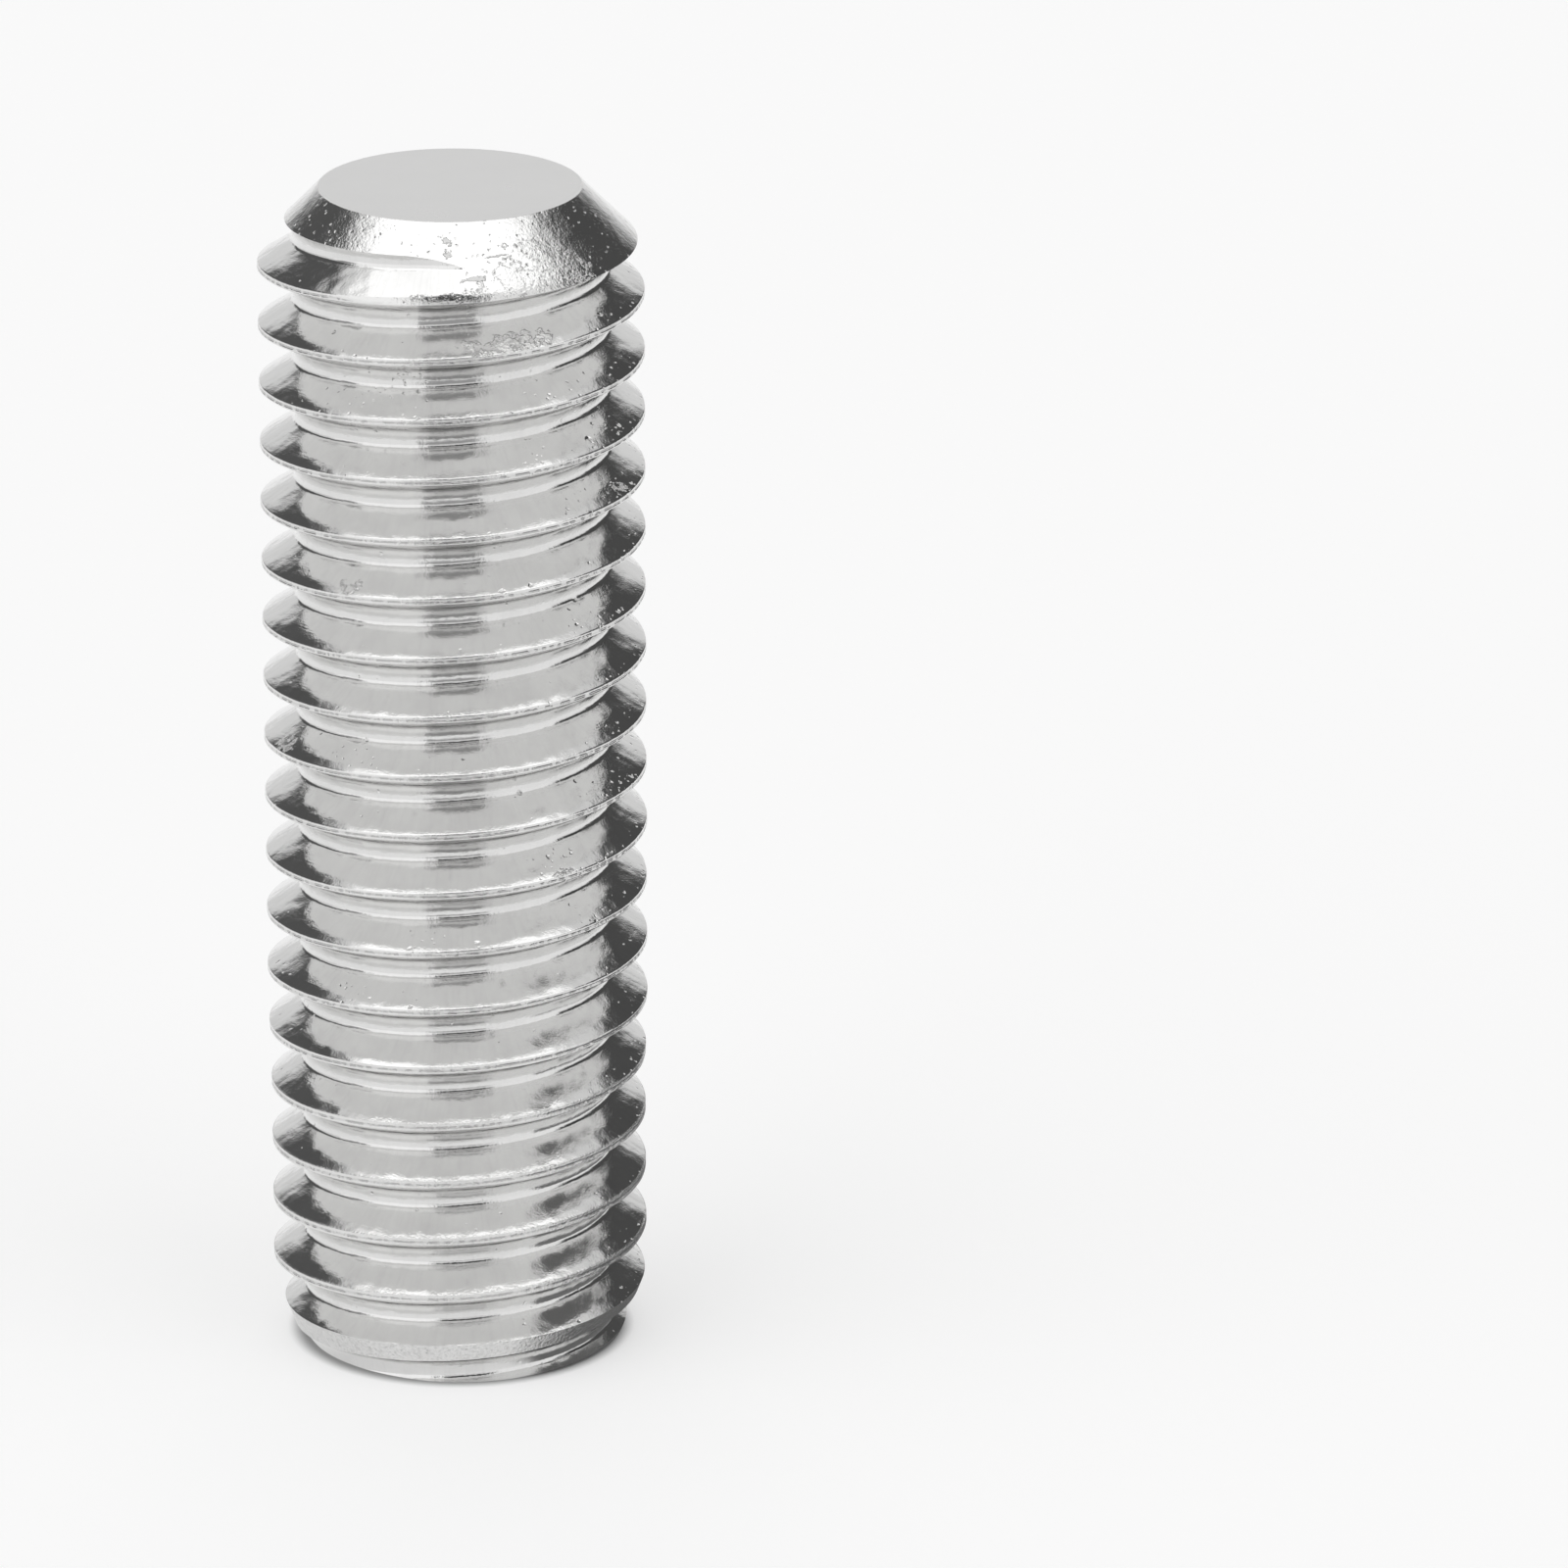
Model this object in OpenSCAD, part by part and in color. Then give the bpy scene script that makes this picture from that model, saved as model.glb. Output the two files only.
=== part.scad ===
// Grub set screw: headless, threaded over its whole length, flat point,
// with a hexagon socket in the other end. It stands on its socket end,
// with the axis on Z and the flat point up. All sizes in millimetres.

/* [Body] */
// Length over both ends
screw_length = 24.6; // [12:0.1:60]
// Diameter over the thread crests
crest_d = 7.82; // [7.6:0.02:8.2]
// Diameter of the flat on the point
point_d = 5.33; // [4:0.01:6.2]
// Angle between the point's cone and the axis
point_angle = 45; // [35:1:60]
// Radius that rounds the point's cone into the crests
shoulder_radius = 0.4; // [0.1:0.05:0.6]
// Diameter of the flat rim around the socket
rim_d = 6.7; // [6.2:0.05:7.2]
// Angle between the lead cone at the socket end and the axis
lead_angle = 21; // [15:1:45]

/* [Thread] */
// Height that one turn of the thread climbs
pitch = 1.25; // [1.2:0.01:1.5]
// Diameter at the bottom of the groove
root_d = 6.34; // [6.2:0.02:6.8]
// Angle between the two flanks of the groove
flank_angle = 60; // [52:1:62]
// Radius of the rounded groove bottom
root_radius = 0.24; // [0.1:0.01:0.28]
// Direction in which the groove leaves the socket end, from the X axis
thread_start = 210; // [0:5:355]

/* [Socket] */
// Width of the hexagon across its flats
socket_af = 4; // [3:0.1:4.6]
// Depth of the hexagon below the rim
socket_depth = 6; // [3:0.1:8]
// Diameter of the countersink in the socket's mouth
countersink_d = 5.5; // [5.4:0.05:6]
// Full angle of the countersink
countersink_angle = 120; // [90:5:130]

/* [Hidden] */
$fn = 96;

crest_r = crest_d / 2;
root_r = root_d / 2;
half_flank = flank_angle / 2;

// Height of the lead cone
lead_h = (crest_d - rim_d) / 2 / tan(lead_angle);

// The shoulder is an arc in this many chords, tangent to crests and cone
shoulder_chords = 4;
shoulder_z = screw_length - shoulder_radius * sin(point_angle)
    - (crest_r - point_d / 2 - shoulder_radius * (1 - cos(point_angle)))
    / tan(point_angle);

// The cutters reach this far past the surfaces that they cut
overcut = 0.05;

// The groove is swept in this many steps a turn, one turn past each end
steps_per_turn = 36;
groove_steps = ceil((screw_length / pitch + 2) * steps_per_turn);

// The groove bottom is an arc in this many chords, which meets each flank
// where the arc has turned by arc_end from the middle. Neighbouring turns of
// the groove never overlap: its mouth stays within half a pitch.
root_chords = 3;
arc_end = 90 - half_flank;
tangent_r = root_r + root_radius * (1 - cos(arc_end));
tangent_z = root_radius * sin(arc_end);
mouth_r = crest_r + overcut;
mouth_z = min(tangent_z + (mouth_r - tangent_r) * tan(half_flank), 0.49 * pitch);

// Section of the groove as [radius, height], from the lower lip to the upper
groove_section = concat(
    [[mouth_r, -mouth_z]],
    [for (i = [0 : root_chords])
        let (turn = arc_end * (2 * i / root_chords - 1))
        [root_r + root_radius * (1 - cos(turn)), root_radius * sin(turn)]],
    [[mouth_r, mouth_z]]
);

// Solid of revolution that the thread and the socket are cut into
module blank() {
    rotate_extrude()
        polygon(concat(
            [[0, 0], [rim_d / 2, 0], [crest_r, lead_h]],
            [for (i = [0 : shoulder_chords])
                let (tilt = point_angle * i / shoulder_chords)
                [
                    crest_r - shoulder_radius * (1 - cos(tilt)),
                    shoulder_z + shoulder_radius * sin(tilt)
                ]],
            [[point_d / 2, screw_length], [0, screw_length]]
        ));
}

// Right-handed helical cutter with the groove's section. Both its ends lie
// outside the blank, so the thread runs out over the cones.
module thread_groove() {
    n = len(groove_section);
    points = [
        for (step = [0 : groove_steps], p = groove_section)
            let (
                angle = thread_start + 360 * step / steps_per_turn,
                climb = pitch * (step / steps_per_turn - 1)
            )
            [p[0] * cos(angle), p[0] * sin(angle), p[1] + climb]
    ];
    sides = [
        for (step = [0 : groove_steps - 1], i = [0 : n - 1])
            let (
                a = step * n + i,
                b = step * n + (i + 1) % n
            )
            each [[a, b + n, b], [a, a + n, b + n]]
    ];
    first_end = [for (i = [0 : n - 1]) i];
    last_end = [for (i = [n - 1 : -1 : 0]) groove_steps * n + i];
    polyhedron(points, concat(sides, [first_end, last_end]));
}

// Hexagon with a flat floor, and the round countersink in its mouth
module hex_socket() {
    translate([0, 0, -overcut])
        cylinder(h = socket_depth + overcut, d = socket_af / cos(30), $fn = 6);
    cone_d = countersink_d + 2 * overcut * tan(countersink_angle / 2);
    translate([0, 0, -overcut])
        cylinder(h = cone_d / 2 / tan(countersink_angle / 2),
                 d1 = cone_d, d2 = 0);
}

module grub_screw() {
    color("silver")
        difference() {
            blank();
            thread_groove();
            hex_socket();
        }
}

grub_screw();
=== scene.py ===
"""Grub set screw, standing on its socket end, in a small white studio."""
import math

import bpy
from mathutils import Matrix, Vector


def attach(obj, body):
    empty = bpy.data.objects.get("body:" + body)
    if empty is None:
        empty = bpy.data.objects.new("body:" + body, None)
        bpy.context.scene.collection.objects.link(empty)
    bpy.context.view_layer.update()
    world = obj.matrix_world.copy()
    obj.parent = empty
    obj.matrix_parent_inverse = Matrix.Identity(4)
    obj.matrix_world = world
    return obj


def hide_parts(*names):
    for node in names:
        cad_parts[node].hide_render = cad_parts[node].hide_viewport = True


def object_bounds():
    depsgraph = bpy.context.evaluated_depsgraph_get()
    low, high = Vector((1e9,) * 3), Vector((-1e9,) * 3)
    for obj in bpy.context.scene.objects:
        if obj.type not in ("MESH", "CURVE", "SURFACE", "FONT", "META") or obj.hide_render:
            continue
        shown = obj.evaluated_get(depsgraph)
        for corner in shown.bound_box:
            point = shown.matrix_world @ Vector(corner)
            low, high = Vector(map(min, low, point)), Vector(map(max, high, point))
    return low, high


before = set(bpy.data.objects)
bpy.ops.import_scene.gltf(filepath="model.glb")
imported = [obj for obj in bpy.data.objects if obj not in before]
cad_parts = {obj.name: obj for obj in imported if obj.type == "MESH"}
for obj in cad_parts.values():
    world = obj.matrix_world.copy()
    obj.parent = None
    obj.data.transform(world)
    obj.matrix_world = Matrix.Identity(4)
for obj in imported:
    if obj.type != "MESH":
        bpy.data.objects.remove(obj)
cad_low, cad_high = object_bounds()

MM = 0.001
DEGREE = math.pi / 180

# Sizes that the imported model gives
LENGTH = cad_high.z - cad_low.z
CREST_DIAMETER = cad_high.x - cad_low.x

# The screw's other sizes, in metres and radians
PITCH = 1.25 * MM
CREST_FLAT = 0.08 * MM
UPPER_CREST_ROUNDING = 0.05 * MM
LOWER_CREST_ROUNDING = 0.03 * MM
CREST_DROP = 0.02 * MM
UPPER_FLANK_ANGLE = 32 * DEGREE
LOWER_FLANK_ANGLE = 25 * DEGREE
UPPER_ROOT_ROUNDING = 0.14 * MM
LOWER_ROOT_ROUNDING = 0.4 * MM
# Near the socket end the crests are less full, which fades out between two
# heights. Rolling leaves all of them slightly uneven.
BLUNTNESS = 0.05 * MM
BLUNT_UP_TO = 5.5 * MM
FULL_FROM = 8.0 * MM
UNEVENNESS = 0.012 * MM
# Near the point the groove grows shallow between these distances from the end
RUNOUT_START = 0.7 * MM
RUNOUT_END = 0.48 * MM
THREAD_START = 210 * DEGREE
POINT_DIAMETER = 5.33 * MM
POINT_ANGLE = 45 * DEGREE
SHOULDER_RADIUS = 0.55 * MM
EDGE_RADIUS = 0.04 * MM
RIM_DIAMETER = 6.7 * MM
RIM_EDGE_RADIUS = 0.15 * MM
LEAD_ANGLE = 21 * DEGREE
SOCKET_WIDTH = 4.0 * MM
SOCKET_DEPTH = 6.0 * MM
COUNTERSINK_DIAMETER = 5.5 * MM
COUNTERSINK_ANGLE = 120 * DEGREE

# Faces round the axis, and rows of faces over each part of half a turn of the
# thread, from the crest to the root
COLUMNS = 160
CREST_ROWS, ROUND_ROWS, FLANK_ROWS, ROOT_ROWS = 1, 4, 3, 5
HALF_TURN_ROWS = CREST_ROWS + ROUND_ROWS + FLANK_ROWS + ROOT_ROWS
# The thread is swept this many turns past each end, and cut away there
SPARE_TURNS = 3.0
# Between the ends the turned blank clears the crests by this much
CREST_CLEARANCE = 0.004 * MM
# Edges that bend more than this are shaded sharp
SHARP_BEND = 25 * DEGREE

# Section of the thread. Each crest has an upper and a lower side.
THREAD_SIZES = {
    "Pitch": PITCH, "Crest Flat": CREST_FLAT,
    "Upper Crest Rounding": UPPER_CREST_ROUNDING,
    "Lower Crest Rounding": LOWER_CREST_ROUNDING,
    "Upper Flank Angle": UPPER_FLANK_ANGLE, "Lower Flank Angle": LOWER_FLANK_ANGLE,
    "Upper Root Rounding": UPPER_ROOT_ROUNDING,
    "Lower Root Rounding": LOWER_ROOT_ROUNDING}

# Finishes of the screw's surfaces
FINISHES = ("Thread Steel", "Turned Steel", "Flat Steel", "Socket Steel")

# Colours: the bare steel, a lighter copy of it for the flats that is painted light, and
# the white of the studio as it is seen
STEEL = (0.76, 0.758, 0.752, 1)
PAINTED_LIGHT_STEEL = (0.8, 0.798, 0.792, 1)
BACKDROP = (0.956, 0.956, 0.956, 1)
FLOOR_SHADE = 0.5
FLOOR_LIFT = 0.515
# What a dark mark or painted shade leaves of the steel's colour
MARKED_SHARE = 0.55


# ---------------------------------------------------------------- node helpers

def is_socket(value):
    return isinstance(value, bpy.types.NodeSocket)


def node(tree, kind, inputs=None, **settings):
    """A new node. inputs maps socket names or places to values or to sockets."""
    made = tree.nodes.new(kind)
    for name, value in settings.items():
        setattr(made, name, value)
    for key, value in (inputs or {}).items():
        if is_socket(value):
            tree.links.new(value, made.inputs[key])
        else:
            made.inputs[key].default_value = value
    return made


def calc(tree, operation, *values, clamp=False):
    """The output of one Math node."""
    made = node(tree, "ShaderNodeMath", dict(enumerate(values)),
                operation=operation, use_clamp=clamp)
    return made.outputs[0]


def add(tree, *values):
    total = values[0]
    for value in values[1:]:
        total = calc(tree, "ADD", total, value)
    return total


def take(tree, first, second):
    return calc(tree, "SUBTRACT", first, second)


def times(tree, *values):
    total = values[0]
    for value in values[1:]:
        total = calc(tree, "MULTIPLY", total, value)
    return total


def divide(tree, first, second):
    return calc(tree, "DIVIDE", first, second)


def vector(tree, x=0.0, y=0.0, z=0.0):
    return node(tree, "ShaderNodeCombineXYZ", {0: x, 1: y, 2: z}).outputs[0]


def parts_of(tree, value):
    """X, Y and Z of a vector socket."""
    return node(tree, "ShaderNodeSeparateXYZ", {0: value}).outputs


def join_vectors(tree, operation, first, second, output="Vector"):
    """One Vector Math node on two vectors."""
    made = node(tree, "ShaderNodeVectorMath", {0: first, 1: second},
                operation=operation)
    return made.outputs[output]


def scaled(tree, value, factor):
    """A vector times a number."""
    return node(tree, "ShaderNodeVectorMath", {0: value, 3: factor},
                operation="SCALE").outputs[0]


def round_axis(tree, angle, radius, height=0.0):
    """The place at an angle round the axis."""
    return vector(tree, times(tree, radius, calc(tree, "COSINE", angle)),
                  times(tree, radius, calc(tree, "SINE", angle)), height)


def from_axis(tree, x, y):
    """Distance from the axis."""
    return calc(tree, "SQRT", add(tree, times(tree, x, x), times(tree, y, y)))


def ramp(tree, value, low, high, to_low=0.0, to_high=1.0, smooth=True):
    """value carried from low..high to to_low..to_high, and held beyond them."""
    made = node(tree, "ShaderNodeMapRange",
                {0: value, 1: low, 2: high, 3: to_low, 4: to_high},
                interpolation_type="SMOOTHSTEP" if smooth else "LINEAR")
    return made.outputs[0]


def noise(tree, place, scale, detail=2.0, rough=0.5, w=None):
    """Noise from 0 to 1. w adds a fourth coordinate."""
    inputs = {"Vector": place, "Scale": scale, "Detail": detail, "Roughness": rough}
    if w is not None:
        inputs["W"] = w
    return node(tree, "ShaderNodeTexNoise", inputs,
                noise_dimensions="3D" if w is None else "4D").outputs[0]


def new_group(name, kind, inputs, outputs):
    """An empty node group with its input and output nodes. inputs and outputs
    are lists of (name, socket type without its prefix, default)."""
    tree = bpy.data.node_groups.new(name, kind)
    for in_out, sockets in (("INPUT", inputs), ("OUTPUT", outputs)):
        for socket_name, socket_kind, default in sockets:
            made = tree.interface.new_socket(
                socket_name, in_out=in_out, socket_type="NodeSocket" + socket_kind)
            if default is not None:
                made.default_value = default
    enter = tree.nodes.new("NodeGroupInput")
    leave = tree.nodes.new("NodeGroupOutput")
    return tree, enter.outputs, leave.inputs


def floats(*pairs):
    """Float sockets for new_group, from names or (name, default) pairs."""
    return [(pair, "Float", 0.0) if isinstance(pair, str) else
            (pair[0], "Float", pair[1]) for pair in pairs]


# ------------------------------------------------------- geometry of the screw

def thread_side():
    """One side of the thread's section, walked by rows from crest to root.
    Offset is the way along the axis and Depth the way in from the crest."""
    tree, given, result = new_group("thread side", "GeometryNodeTree", floats(
        "Walk", "Crest Flat", "Crest Rounding", "Root Rounding", "Flank Angle",
        "Groove Depth"), floats("Offset", "Depth"))
    shares, start = [], 0.0
    for rows in (CREST_ROWS, ROUND_ROWS, FLANK_ROWS, ROOT_ROWS):
        shares.append(ramp(tree, given["Walk"], start, start + rows, smooth=False))
        start += rows
    flat_share, round_share, flank_share, root_share = shares
    crest, root, slope = (given["Crest Rounding"], given["Root Rounding"],
                          given["Flank Angle"])
    sine = calc(tree, "SINE", slope)
    lean = take(tree, math.pi / 2, slope)
    # Rounded corner of the crest
    turned = times(tree, round_share, lean)
    crest_offset = times(tree, crest, calc(tree, "SINE", turned))
    crest_depth = times(tree, crest, take(tree, 1.0, calc(tree, "COSINE", turned)))
    # Straight flank, which takes what the two arcs leave of the depth
    arcs = times(tree, add(tree, crest, root), take(tree, 1.0, sine))
    flank_depth = times(tree, flank_share, take(tree, given["Groove Depth"], arcs))
    flank_offset = times(tree, flank_depth, calc(tree, "TANGENT", slope))
    # Round bottom of the groove
    left = times(tree, take(tree, 1.0, root_share), lean)
    root_offset = times(tree, root, take(tree, calc(tree, "COSINE", slope),
                                         calc(tree, "SINE", left)))
    root_depth = times(tree, root, take(tree, calc(tree, "COSINE", left), sine))
    offset = add(tree, times(tree, flat_share, given["Crest Flat"], 0.5),
                 crest_offset, flank_offset, root_offset)
    tree.links.new(offset, result["Offset"])
    tree.links.new(add(tree, crest_depth, flank_depth, root_depth), result["Depth"])
    return tree


def groove_depth(tree, given):
    """The depth at which both sides together fill one pitch."""
    left = take(tree, given["Pitch"], given["Crest Flat"])
    slopes = 0.0
    for side in ("Upper", "Lower"):
        slope = given[side + " Flank Angle"]
        roundings = add(tree, given[side + " Crest Rounding"],
                        given[side + " Root Rounding"])
        used = times(tree, roundings, take(tree, 1.0, calc(tree, "SINE", slope)))
        left = take(tree, left, divide(tree, used, calc(tree, "COSINE", slope)))
        slopes = add(tree, slopes, calc(tree, "TANGENT", slope))
    return divide(tree, left, slopes)


def lathe_grid(tree, columns, rows):
    """A flat grid as (mesh, angle round the axis, 0 to 1 along the rows)."""
    grid = node(tree, "GeometryNodeMeshGrid", {
        "Size X": 1.0, "Size Y": 1.0,
        "Vertices X": add(tree, columns, 1.0),
        "Vertices Y": add(tree, rows, 1.0)})
    place = parts_of(tree, node(tree, "GeometryNodeInputPosition").outputs[0])
    angle = times(tree, add(tree, place[0], 0.5), math.tau)
    return grid.outputs["Mesh"], angle, add(tree, place[1], 0.5)


def wrap_grid(tree, mesh, angle, radius, height):
    """The grid rolled round the axis, with its seam and its poles welded."""
    moved = node(tree, "GeometryNodeSetPosition", {
        "Geometry": mesh, "Position": round_axis(tree, angle, radius, height)})
    welded = node(tree, "GeometryNodeMergeByDistance",
                  {"Geometry": moved.outputs[0], "Distance": 0.0005 * MM})
    return welded.outputs[0]


def tagged(tree, mesh, finish, selection=True):
    """Notes on the faces which of the FINISHES they get once all is joined."""
    return node(tree, "GeometryNodeStoreNamedAttribute", {
        "Geometry": mesh, "Selection": selection, "Name": "finish",
        "Value": FINISHES.index(finish)}, data_type="INT", domain="FACE").outputs[0]


def threaded_rod(side_tree):
    """A rod with the thread all along it, longer than the screw at both ends."""
    tree, given, result = new_group("threaded rod", "GeometryNodeTree", floats(
        "Length", "Crest Diameter", *THREAD_SIZES, "Start Angle", "Crest Drop",
        "Bluntness", "Runout Start", "Runout End", "Seed") + [("Columns", "Int", COLUMNS)],
        [("Mesh", "Geometry", None)])
    pitch = given["Pitch"]
    # The sweep starts some turns below the socket end and is cut level there
    turns = calc(tree, "CEIL", add(
        tree, divide(tree, given["Length"], pitch), 2.0 * SPARE_TURNS))
    rows = times(tree, turns, 2.0 * HALF_TURN_ROWS)
    mesh, angle, along = lathe_grid(tree, given["Columns"], rows)
    turn = times(tree, along, turns)
    crest = calc(tree, "ROUND", turn)
    past = take(tree, turn, crest)
    # Each face row lies above or below its crest, and takes that side's sizes
    above = calc(tree, "GREATER_THAN", past, 0.0)
    sided = {}
    for name in ("Crest Rounding", "Flank Angle", "Root Rounding"):
        upper, lower = given["Upper " + name], given["Lower " + name]
        sided[name] = add(tree, lower, times(tree, above, take(tree, upper, lower)))
    part = node(tree, "GeometryNodeGroup", {
        "Walk": times(tree, calc(tree, "ABSOLUTE", past), 2.0 * HALF_TURN_ROWS),
        "Crest Flat": given["Crest Flat"],
        "Groove Depth": groove_depth(tree, given),
        **sided}, node_tree=side_tree).outputs
    # The groove passes the socket end's plane at the start angle, about half a
    # turn from the crests
    climb = divide(tree, take(tree, angle, given["Start Angle"]), math.tau)
    crest_turn = add(tree, take(tree, crest, SPARE_TURNS + 0.5), climb)
    height = add(tree, times(tree, pitch, crest_turn),
                 times(tree, calc(tree, "SIGN", past), part["Offset"]))
    height = take(tree, height, given["Crest Drop"])
    # Rolling leaves the crests slightly uneven
    place = round_axis(tree, angle, 1.0, times(tree, height, 0.25 / MM))
    coarse = noise(tree, place, 3.0, 1.0, w=given["Seed"])
    on_crest = ramp(tree, part["Depth"], 0.0, 0.12 * MM, 1.0, 0.0)
    uneven = times(tree, on_crest, UNEVENNESS, ramp(tree, coarse, 0.35, 0.75))
    # Near the socket end the crests are less full, so their tops are wider
    blunt = times(tree, given["Bluntness"], ramp(
        tree, height, BLUNT_UP_TO, FULL_FROM, 1.0, 0.0))
    # At its last half turn the groove runs out into the point's cone
    groove_turn = add(tree, calc(tree, "FLOOR", turn), -SPARE_TURNS, climb)
    below_end = take(tree, given["Length"], times(tree, pitch, groove_turn))
    full = ramp(tree, below_end, given["Runout End"], given["Runout Start"])
    depth = add(tree, times(tree, full, calc(
        tree, "MAXIMUM", part["Depth"], blunt)), uneven)
    radius = take(tree, times(tree, given["Crest Diameter"], 0.5), depth)
    low = times(tree, pitch, -1.0)
    high = add(tree, given["Length"], pitch)
    inside = times(tree, calc(tree, "GREATER_THAN", height, low),
                   calc(tree, "LESS_THAN", height, high))
    held = calc(tree, "MINIMUM", calc(tree, "MAXIMUM", height, low), high)
    rod = wrap_grid(tree, mesh, angle, times(tree, radius, inside), held)
    tree.links.new(tagged(tree, rod, "Thread Steel"), result["Mesh"])
    return tree


def line_stretch(tree, share, start, end):
    """The way gone outwards and upwards along a share of a line."""
    return [times(tree, share, take(tree, last, first))
            for first, last in zip(start, end)]


def arc_stretch(tree, share, radius, start, end):
    """The way gone outwards and upwards along a share of an arc."""
    tilt = add(tree, start, times(tree, share, take(tree, end, start)))
    return [times(tree, radius, take(tree, calc(tree, wave, tilt),
                                     calc(tree, wave, start)))
            for wave in ("COSINE", "SINE")]


def blank_outline(tree, given):
    """The blank's outline from the centre of the socket end to the centre of the
    point, in stretches that start where the last one ends. Each begins with its
    rows of faces. A line has a start and an end, and an arc has a radius and the
    tilts that it runs between."""
    length, slope = given["Length"], given["Point Angle"]
    shoulder, edge = given["Shoulder Radius"], given["Edge Radius"]
    sine, cosine, tangent = (calc(tree, name, slope)
                             for name in ("SINE", "COSINE", "TANGENT"))
    wide = add(tree, times(tree, given["Crest Diameter"], 0.5), CREST_CLEARANCE)
    rim = times(tree, given["Rim Diameter"], 0.5)
    point = times(tree, given["Point Diameter"], 0.5)
    lead, broken = given["Lead Angle"], given["Rim Edge Radius"]
    lead_top = divide(tree, take(tree, wide, rim), calc(tree, "TANGENT", lead))
    # The small arc that breaks the rim's edge, from facing down to facing the
    # lead cone's way
    rim_turn = take(tree, math.pi / 4, times(tree, lead, 0.5))
    rim_in = take(tree, rim, times(tree, broken, calc(tree, "TANGENT", rim_turn)))
    lead_foot = (add(tree, rim_in, times(tree, broken, calc(tree, "COSINE", lead))),
                 times(tree, broken, take(tree, 1.0, calc(tree, "SINE", lead))))
    # Centre of the shoulder's arc, which touches the crests and the cone
    shoulder_in = take(tree, wide, shoulder)
    cone_width = take(tree, take(tree, wide, point),
                      times(tree, shoulder, take(tree, 1.0, cosine)))
    shoulder_up = take(tree, take(tree, length, times(tree, shoulder, sine)),
                       divide(tree, cone_width, tangent))
    # Centre of the small arc that breaks the point's edge
    edge_turn = take(tree, math.pi / 4, times(tree, slope, 0.5))
    edge_in = take(tree, point, times(tree, edge, calc(tree, "TANGENT", edge_turn)))
    edge_up = take(tree, length, edge)
    cone_foot = (add(tree, shoulder_in, times(tree, shoulder, cosine)),
                 add(tree, shoulder_up, times(tree, shoulder, sine)))
    cone_top = (add(tree, edge_in, times(tree, edge, cosine)),
                add(tree, edge_up, times(tree, edge, sine)))
    return (
        (2, line_stretch, (0.0, 0.0), (rim_in, 0.0)),
        (4, arc_stretch, broken, -math.pi / 2, times(tree, lead, -1.0)),
        (3, line_stretch, lead_foot, (wide, lead_top)),
        (1, line_stretch, (wide, lead_top), (wide, shoulder_up)),
        (6, arc_stretch, shoulder, 0.0, slope),
        (6, line_stretch, cone_foot, cone_top),
        (3, arc_stretch, edge, slope, math.pi / 2),
        (3, line_stretch, (edge_in, length), (0.0, length)),
    )


def turned_blank():
    """The envelope of both ends: flats, cones and the rounded shoulder. Between
    the ends it just clears the thread."""
    tree, given, result = new_group("turned blank", "GeometryNodeTree", floats(
        "Length", "Crest Diameter", "Point Diameter", "Point Angle",
        "Shoulder Radius", "Edge Radius", "Rim Diameter", "Rim Edge Radius", "Lead Angle"
    ) + [("Columns", "Int", COLUMNS)], [("Mesh", "Geometry", None)])
    outline = blank_outline(tree, given)
    rim_rows, point_rows = outline[0][0], outline[-1][0]
    total_rows = float(sum(rows for rows, *_ in outline))
    mesh, angle, along = lathe_grid(tree, given["Columns"], total_rows)
    walk = times(tree, along, total_rows)
    reached, radius, height = 0.0, 0.0, 0.0
    for rows, stretch, *sizes in outline:
        share = ramp(tree, walk, reached, reached + rows, smooth=False)
        outwards, upwards = stretch(tree, share, *sizes)
        radius = add(tree, radius, outwards)
        height = add(tree, height, upwards)
        reached += rows
    flats = add(tree, calc(tree, "LESS_THAN", walk, float(rim_rows)),
                calc(tree, "GREATER_THAN", walk, total_rows - point_rows))
    mesh = tagged(tree, mesh, "Turned Steel")
    mesh = tagged(tree, mesh, "Flat Steel", flats)
    blank = wrap_grid(tree, mesh, angle, radius, height)
    tree.links.new(blank, result["Mesh"])
    return tree


def socket_cutter():
    """The hexagon with its flat floor, and the countersink cone, as two tools."""
    tree, given, result = new_group("socket cutter", "GeometryNodeTree", floats(
        "Socket Width", "Socket Depth", "Countersink Diameter", "Countersink Angle"),
        [("Hexagon", "Geometry", None), ("Cone", "Geometry", None)])
    overcut = 0.1 * MM
    corner = divide(tree, given["Socket Width"], 2 * math.cos(30 * DEGREE))
    tall = add(tree, given["Socket Depth"], overcut)
    prism = node(tree, "GeometryNodeMeshCylinder", {
        "Vertices": 6, "Side Segments": 1, "Radius": corner, "Depth": tall})
    up = take(tree, times(tree, tall, 0.5), overcut)
    hexagon = node(tree, "GeometryNodeTransform", {
        "Geometry": prism.outputs["Mesh"], "Translation": vector(tree, z=up)})
    spread = calc(tree, "TANGENT", times(tree, given["Countersink Angle"], 0.5))
    wide = add(tree, times(tree, spread, overcut),
               times(tree, given["Countersink Diameter"], 0.5))
    deep = divide(tree, wide, spread)
    cone = node(tree, "GeometryNodeMeshCone", {
        "Vertices": COLUMNS, "Radius Top": 0.0, "Radius Bottom": wide, "Depth": deep})
    sunk = node(tree, "GeometryNodeTransform", {
        "Geometry": cone.outputs["Mesh"], "Translation": vector(tree, z=-overcut)})
    for tool, name in ((hexagon, "Hexagon"), (sunk, "Cone")):
        tree.links.new(tagged(tree, tool.outputs[0], "Socket Steel"), result[name])
    return tree


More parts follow.
